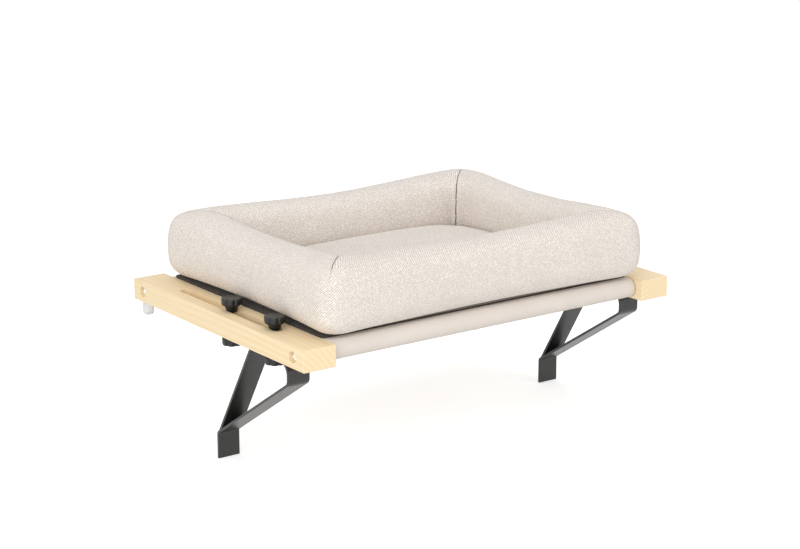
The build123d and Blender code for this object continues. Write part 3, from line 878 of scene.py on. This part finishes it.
@dataclass
class Sling:
    """The cloth sling: a sleeve round each bar, a taut sheet between them and a sewn flap under each edge."""

    bar_z: float = 32.0 * MM
    front_y: float = -174.0 * MM
    rear_y: float = 151.0 * MM
    half_width: float = 220.2 * MM
    radius: float = 11.15 * MM
    cloth: float = 0.95 * MM
    flap_z: float = 42.1 * MM
    flap_end: float = 16.0 * MM
    sleeve_reach: float = 13.0 * MM
    crease: float = 0.20 * MM
    end_crease: float = 0.30 * MM
    end_reach: float = 16.0 * MM
    most_lift: float = 0.5 * MM
    slack: float = 0.35 * MM
    stitch: float = 2.9 * MM
    stitch_gap: float = 1.0 * MM
    stitch_radius: float = 0.3 * MM
    stitch_rows: tuple[float, float] = (11.8 * MM, 14.4 * MM)
    edge_margin: float = 4.0 * MM

    def path(self) -> np.ndarray:
        """Middle line of the cloth in Y and Z: flap, round the front bar, sheet, round the rear bar, flap.

        Returns:
            Points about 1 mm apart, shape (n, 2).
        """
        ring_points, flap_points, sheet_points = 70, 8, 88
        climb = math.asin((self.flap_z - self.bar_z) / self.radius)
        angles = np.linspace(climb, math.pi / 2 - math.tau, ring_points)
        ring = np.stack([np.cos(angles), np.sin(angles)], 1) * self.radius
        flap_y = np.linspace(self.flap_end, ring[0, 0], flap_points + 1)[:-1]
        flap = np.stack([flap_y, np.full(flap_points, self.flap_z - self.bar_z)], 1)
        front = np.vstack([flap, ring])
        rear = front[::-1] * np.array([-1.0, 1.0])
        front = front + np.array([self.front_y, self.bar_z])
        rear = rear + np.array([self.rear_y, self.bar_z])
        between = np.linspace(self.front_y, self.rear_y, sheet_points + 2)[1:-1]
        sheet = np.stack([between, np.full(sheet_points, self.bar_z + self.radius)], 1)
        return np.vstack([front, sheet, rear])

    def build(self) -> None:
        """Makes the sling, with soft creases round the sleeves that fade away from the rails."""
        path = self.path()
        rng = np.random.default_rng(31)
        x = np.linspace(-self.half_width, self.half_width, 150)[:, None]
        travelled = np.concatenate([[0], np.cumsum(np.linalg.norm(np.diff(path, axis=0), axis=1))])
        around = travelled[None, :]
        y, z = path[None, :, 0], path[None, :, 1]
        nearest = np.where(y < (self.front_y + self.rear_y) / 2, self.front_y, self.rear_y)
        on_sleeve = np.exp(-((np.abs(y - nearest) / self.sleeve_reach) ** 4))
        near_end = np.exp((np.abs(x) - self.half_width) / self.end_reach)
        crease = self.crease * rolling(rng, x * 2.4, around, 0.05)
        crease = crease + self.end_crease * rolling(rng, x, around * 0.4, 0.03) * near_end
        lift = np.clip(crease * on_sleeve, -0.05 * MM, self.most_lift)
        away = np.stack([y - nearest, z - self.bar_z], -1)
        away = away / np.maximum(np.linalg.norm(away, axis=-1, keepdims=True), 1e-6)
        slack = self.slack * (1 - on_sleeve) * (z > self.flap_z)
        y_all = y + away[..., 0] * lift
        z_all = z + away[..., 1] * lift - slack
        points = np.stack(np.broadcast_arrays(x, y_all, z_all), -1)
        cloth = np.stack(np.broadcast_arrays(x, around), -1)
        piece = wrap_grid("sling", points, cloth, False, False)
        thicken(piece, self.cloth)
        dress(piece, SLING_CLOTH.make())
        place(piece, "frame", "sling_cloth", "sling_cover")
        self.stitch_flaps()

    def stitch_flaps(self) -> None:
        """Sews two rows of stitches along each flap, on the underside of the cloth."""
        under = self.flap_z - self.cloth / 2
        edge_x = self.half_width - self.edge_margin
        along = np.linspace(-edge_x, edge_x, 9)
        lines = [
            np.stack(np.broadcast_arrays(along, bar_y + way * reach, under), -1)
            for bar_y, way in ((self.front_y, 1), (self.rear_y, -1)) for reach in self.stitch_rows
        ]
        stitches = sew("sling_stitches", lines, self.stitch, self.stitch_gap, self.stitch_radius)
        dress(stitches, SLING_THREAD.make())
        place(stitches, "frame", "sling_cloth")


def soften(profile: np.ndarray, passes: int = 2) -> np.ndarray:
    """Rounds a profile's corners: each pass cuts every corner at a quarter of the lines beside it.

    Args:
        profile: Points, shape (points, values), of which the two ends stay.
        passes: How many times the corners are cut.

    Returns:
        The rounded profile.
    """
    for _ in range(passes):
        before, after = profile[:-1], profile[1:]
        cut = np.stack([before * 0.75 + after * 0.25, before * 0.25 + after * 0.75], 1)
        cut = cut.reshape(-1, profile.shape[1])
        profile = np.vstack([profile[:1], cut[1:-1], profile[-1:]])
    return profile


@dataclass
class StarKnobs:
    """The eight star knobs: moulded heads with seven lobes, on a cone-shaped or a straight neck."""

    lobes: int = 7
    reach: float = 12.0 * MM
    notch: float = 1.75 * MM
    notch_spread: float = 0.15
    dish: float = 0.45 * MM
    dish_radius: float = 7.6 * MM
    round: float = 1.0 * MM
    bore: float = 3.0 * MM
    bore_depth: float = 11.0 * MM
    pocket: float = 4.55 * MM
    pocket_depth: float = 9.65 * MM
    upper_neck: float = 8.4 * MM
    neck_radii: tuple[float, float, float] = (4.6 * MM, 6.45 * MM, 8.0 * MM)
    neck_seat: float = 2.2 * MM
    lower_neck: float = 2.0 * MM
    lower_neck_radius: float = 6.8 * MM
    columns_each: int = 16

    def turned(self, name: str, centre: tuple[float, float], profile: np.ndarray) -> bpy.types.Object:
        """A shape turned about Z, whose radius is cut back by seven smooth notches where it is lobed.

        Args:
            name: Name of the piece.
            centre: Its axis in X and Y.
            profile: Radius, height and share of the notches' depth, shape (points, 3), from axis to axis.

        Returns:
            The closed piece.
        """
        columns = self.columns_each * self.lobes
        angle = np.arange(columns + 1) / columns * math.tau
        from_notch = (angle * self.lobes / math.tau + 0.5) % 1.0 - 0.5
        cut = self.notch * np.exp(-((from_notch / self.notch_spread) ** 2))
        radius = profile[:, :1] - profile[:, 2:] * cut[None, :-1]
        x, y = centre[0] + radius * np.cos(angle[:-1]), centre[1] + radius * np.sin(angle[:-1])
        points = np.stack([x, y, np.broadcast_to(profile[:, 1:2], radius.shape)], -1)
        cloth = np.stack(np.broadcast_arrays(angle[None, :] * self.reach, profile[:, 1:2]), -1)
        piece = wrap_grid(name, points, cloth, True, True)
        face_outwards(piece)
        return piece

    def dished(self, end: float, inwards: int) -> list[tuple[float, float, float]]:
        """A head's end face, from its rim to its axis, dished towards the head's inside."""
        deep = end + inwards * self.dish
        slope = end + inwards * self.dish * 0.6
        return [
            (self.dish_radius + 1.2 * self.round, end, 0.2), (self.dish_radius, slope, 0),
            (self.dish_radius * 0.6, deep, 0), (AXIS_HOLE, deep, 0),
        ]

    def upper(self, node: str, plastic: bpy.types.Material) -> None:
        """An upper knob: blind bore, cone-shaped neck and a head with rounded rims and a dished top."""
        low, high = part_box(node)
        r, edge = self.reach, self.round
        tip, seat, shoulder = self.neck_radii
        head, top = low.z + self.upper_neck, high.z
        bore_top = low.z + self.bore_depth
        profile = np.array([
            (AXIS_HOLE, bore_top, 0), (self.bore, bore_top, 0), (self.bore, low.z, 0), (tip, low.z, 0),
            (seat, low.z + self.neck_seat, 0), (shoulder, head - 0.3 * edge, 0),
            (shoulder + 0.4 * edge, head, 0.2),
            (r - 1.5 * edge, head, 1), (r - 0.1 * edge, head + 1.4 * edge, 1), (r, head + 2.4 * edge, 1),
            (r, top - 2.0 * edge, 1), (r - 0.25 * edge, top - 0.5 * edge, 1), (r - 1.5 * edge, top, 1),
            *self.dished(top, -1),
        ])
        self.add(node, profile, plastic)

    def lower(self, node: str, plastic: bpy.types.Material) -> None:
        """A lower knob: pocket for its bush, short neck, and a head with rounded rims and a dished foot."""
        low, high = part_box(node)
        r, edge = self.reach, self.round
        neck, end = self.lower_neck_radius, low.z
        head = high.z - self.lower_neck
        pocket_end = high.z - self.pocket_depth
        profile = np.array([
            (AXIS_HOLE, pocket_end, 0), (self.pocket, pocket_end, 0), (self.pocket, high.z, 0),
            (neck - 0.2 * edge, high.z, 0), (neck, high.z - 0.3 * edge, 0), (neck, head, 0.2),
            (r - 1.5 * edge, head, 1), (r - 0.25 * edge, head - 0.5 * edge, 1), (r, head - 2.0 * edge, 1),
            (r, end + 2.0 * edge, 1), (r - 0.25 * edge, end + 0.5 * edge, 1), (r - 1.5 * edge, end, 1),
            *self.dished(end, 1),
        ])
        self.add(node, profile, plastic)

    def add(self, node: str, profile: np.ndarray, plastic: bpy.types.Material) -> None:
        """Makes a knob from its profile and puts it in its node's place, on the node's body."""
        low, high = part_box(node)
        stud_low, stud_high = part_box(node.replace("upper_knob", "stud").replace("lower_knob", "stud"))
        centre = ((low.x + high.x) / 2, (stud_low.y + stud_high.y) / 2)
        piece = self.turned(f"{node}_moulding", centre, soften(profile))
        dress(piece, plastic)
        kind, side, end = node.replace("_knob", "").split("_")
        place(piece, f"{side}_{end}_{'bolt' if kind == 'upper' else 'nut'}", "knob_plastic", node)

    def build(self) -> None:
        """Makes all eight knobs."""
        plastic = KNOB.make()
        for side in ("left", "right"):
            for end in ("front", "rear"):
                self.upper(f"upper_knob_{side}_{end}", plastic)
                self.lower(f"lower_knob_{side}_{end}", plastic)


@dataclass
class FrameScrews:
    """The four bright screws deep in the rails' counterbores: domed heads with a tapered cross recess."""

    head: float = 5.7 * MM
    shank: float = 2.95 * MM
    rim: float = 3.4 * MM
    dome: float = 5.8 * MM
    arm: float = 3.7 * MM
    arm_width: float = 0.85 * MM
    recess: float = 2.2 * MM
    soft: float = 0.35 * MM
    arm_taper: float = 1.1 * MM
    seat_depth: float = 3.8 * MM
    length: float = 52.0 * MM
    point: float = 3.0 * MM
    face_rings: int = 44
    columns: int = 96

    def screw(self, name: str, side: int, axis_y: float, axis_z: float) -> bpy.types.Object:
        """One screw along X: rings from the head's middle over its dome, round its rim and down the shank.

        The recess is two crossed bands with soft walls that grow shallow towards their ends.

        Args:
            name: Name of the piece.
            side: -1 on the left and 1 on the right.
            axis_y: Y of its axis.
            axis_z: Z of its axis.

        Returns:
            The closed piece.
        """
        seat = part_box("frame_screws")[1].x - self.seat_depth
        inner = self.head * 0.96
        face = np.linspace(AXIS_HOLE, inner, self.face_rings)
        domed = self.dome - (self.dome - self.rim) * (face / self.head) ** 2
        rim = np.array([(self.head, self.rim * 0.9), (self.head, 0.25 * MM), (inner, 0.0)])
        stem = np.array([
            (self.shank, 0.0), (self.shank, self.point - self.length), (1.0 * MM, -self.length),
            (AXIS_HOLE, -self.length),
        ])
        profile = np.vstack([np.stack([face, domed], 1), rim, stem])
        angle = np.arange(self.columns + 1)[None, :] / self.columns * math.tau
        radius, rise = profile[:, :1], profile[:, 1:2]
        across, up = radius * np.cos(angle[:, :-1]), radius * np.sin(angle[:, :-1])
        arms = [
            np.clip((self.arm_width - np.abs(a)) / self.soft + 0.5, 0, 1)
            * np.clip((self.arm - np.abs(b)) / self.arm_taper, 0, 1)
            for a, b in ((across, up), (up, across))
        ]
        on_face = np.arange(len(profile))[:, None] < len(face)
        depth = np.where(on_face, self.recess * np.maximum(*arms), 0.0)
        x = side * (seat + rise - depth)
        points = np.stack([x, axis_y + across, axis_z + up], -1)
        cloth = np.stack(np.broadcast_arrays(angle * self.head, rise), -1)
        piece = wrap_grid(name, points, cloth, True, True)
        face_outwards(piece)
        return piece

    def build(self) -> None:
        """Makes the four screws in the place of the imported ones."""
        zinc = SCREW.make()
        for end in ("front", "rear"):
            low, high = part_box(f"{end}_bar")
            for label, side in (("left", -1), ("right", 1)):
                piece = self.screw(f"{label}_{end}_screw", side, (low.y + high.y) / 2, (low.z + high.z) / 2)
                dress(piece, zinc)
                place(piece, "frame", "bright_screw", "frame_screws")


@dataclass
class Hardware:
    """The other rigid parts: finishes only, on the parts as they were packed.

    Each rail is sawn from its own tree, whose middle is given in X and Z.
    """

    left_tree: tuple[float, float] = (-0.31, -0.02)
    right_tree: tuple[float, float] = (0.19, 0.12)

    def build(self) -> None:
        """Dresses the rails, brackets, bolts, bars, feet and the dark panel, whose colour is partly painted
        shade in the gap between the rails and the bed.
        """
        finishes = {
            "strap": COAT, "strut": COAT, "stud": ZINC, "washer": ZINC, "bar": TUBE, "plugs": TUBE,
            # The panel's dark felt is partly painted shade: it stands for the shadow in the gap beside the
            # bed as well as for dark cloth.
            "bush": BRASS, "foot": ClearPlastic(), "panel": FeltAndGapShade(),
            "left_rail": Pine("left_pine", self.left_tree), "right_rail": Pine("right_pine", self.right_tree),
        }
        made = {}
        for name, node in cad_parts.items():
            for key, finish in finishes.items():
                if key in name and "bed" not in name:
                    if finish.name not in made:
                        made[finish.name] = finish.make()
                    dress(node, made[finish.name])
                    LOG.info("%s: %s", name, finish.name)


@dataclass
class Studio:
    """Pale floor, soft lamps and the photograph's camera."""

    eye: tuple[float, float, float] = (-1.4235, -1.9638, 0.6954)
    azimuth: float = -36.06
    elevation: float = 15.02
    lens: float = 93.8
    floor_z: float = -135.0 * MM
    ambient: float = 0.62
    lamp_side: float = 1.8
    floor_side: float = 6.0
    floor_glow: float = 0.5

    def camera(self) -> None:
        """Sets the camera where the photograph was taken from, on a sensor 36 mm wide."""
        turn, tilt = math.radians(self.azimuth), math.radians(self.elevation)
        back = Vector((math.sin(turn) * math.cos(tilt), -math.cos(turn) * math.cos(tilt), math.sin(tilt)))
        data = bpy.data.cameras.new("camera")
        data.sensor_width = 36.0
        data.lens = self.lens
        camera = bpy.data.objects.new("camera", data)
        camera.location = self.eye
        camera.rotation_euler = (-back).to_track_quat("-Z", "Y").to_euler()
        bpy.context.scene.collection.objects.link(camera)
        bpy.context.scene.camera = camera

    def lamp(self, name: str, at: tuple[float, float, float], power: float) -> None:
        """Adds a square area lamp that faces the object.

        Args:
            name: Name of the lamp.
            at: Its place in metres.
            power: Its power in watts.
        """
        data = bpy.data.lights.new(name, "AREA")
        data.shape = "SQUARE"
        data.size = self.lamp_side
        data.energy = power
        lamp = bpy.data.objects.new(name, data)
        lamp.location = at
        lamp.rotation_euler = (-Vector(at)).to_track_quat("-Z", "Y").to_euler()
        bpy.context.scene.collection.objects.link(lamp)

    def seen_directly(self, tree: bpy.types.NodeTree) -> bpy.types.NodeSocket:
        """1 for camera, glossy and transmitted rays, which see the white studio, and 0 for the rest."""
        path = tree.nodes.new("ShaderNodeLightPath")
        total = path.outputs["Is Camera Ray"]
        for name in ("Is Glossy Ray", "Is Transmission Ray"):
            node = tree.nodes.new("ShaderNodeMath")
            node.operation = "MAXIMUM"
            tree.links.new(total, node.inputs[0])
            tree.links.new(path.outputs[name], node.inputs[1])
            total = node.outputs[0]
        return total

    def world(self) -> None:
        """White world where it is seen, and a soft even light elsewhere."""
        world = bpy.data.worlds.new("studio")
        world.use_nodes = True
        bpy.context.scene.world = world
        tree = world.node_tree
        background = tree.nodes["Background"]
        background.inputs["Color"].default_value = (1.0, 1.0, 1.0, 1.0)
        level = tree.nodes.new("ShaderNodeMapRange")
        tree.links.new(self.seen_directly(tree), level.inputs["Value"])
        level.inputs["To Min"].default_value = self.ambient
        level.inputs["To Max"].default_value = 1.0
        tree.links.new(level.outputs[0], background.inputs["Strength"])

    def floor(self) -> None:
        """Pale floor: diffuse, with a glow where it is seen directly: white, but it keeps the shadow."""
        mesh = bpy.data.meshes.new("floor")
        corners = ((-1, -1), (1, -1), (1, 1), (-1, 1))
        places = [(x * self.floor_side, y * self.floor_side, self.floor_z) for x, y in corners]
        mesh.from_pydata(places, [], [(0, 1, 2, 3)])
        floor = bpy.data.objects.new("floor", mesh)
        bpy.context.scene.collection.objects.link(floor)
        material = bpy.data.materials.new("floor_paper")
        material.use_nodes = True
        tree = material.node_tree
        shader = tree.nodes["Principled BSDF"]
        shader.inputs["Base Color"].default_value = (*paint(236, 236, 236), 1.0)
        shader.inputs["Roughness"].default_value = 1.0
        shader.inputs["Specular IOR Level"].default_value = 0.0
        shader.inputs["Emission Color"].default_value = (1.0, 1.0, 1.0, 1.0)
        glow = tree.nodes.new("ShaderNodeMath")
        glow.operation = "MULTIPLY"
        tree.links.new(self.seen_directly(tree), glow.inputs[0])
        glow.inputs[1].default_value = self.floor_glow
        tree.links.new(glow.outputs[0], shader.inputs["Emission Strength"])
        mesh.materials.append(material)

    def build(self) -> None:
        """Sets the camera, the world, the lamps and the floor."""
        self.camera()
        self.world()
        self.lamp("key", (-2.2, -1.5, 1.0), 34.0)
        self.lamp("fill", (1.3, -2.3, 1.0), 15.0)
        self.lamp("top", (0.2, 0.4, 2.4), 12.0)
        self.floor()
        bpy.context.scene.view_settings.view_transform = "Standard"


def main() -> None:
    """Builds the perch's pieces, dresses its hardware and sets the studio."""
    logging.basicConfig(level=logging.INFO, format="%(name)s: %(message)s")
    for part in (BolsterBed(), Sling(), StarKnobs(), FrameScrews(), Hardware(), Studio()):
        LOG.info("building %s", type(part).__name__)
        part.build()


if __name__ == "__main__":
    main()
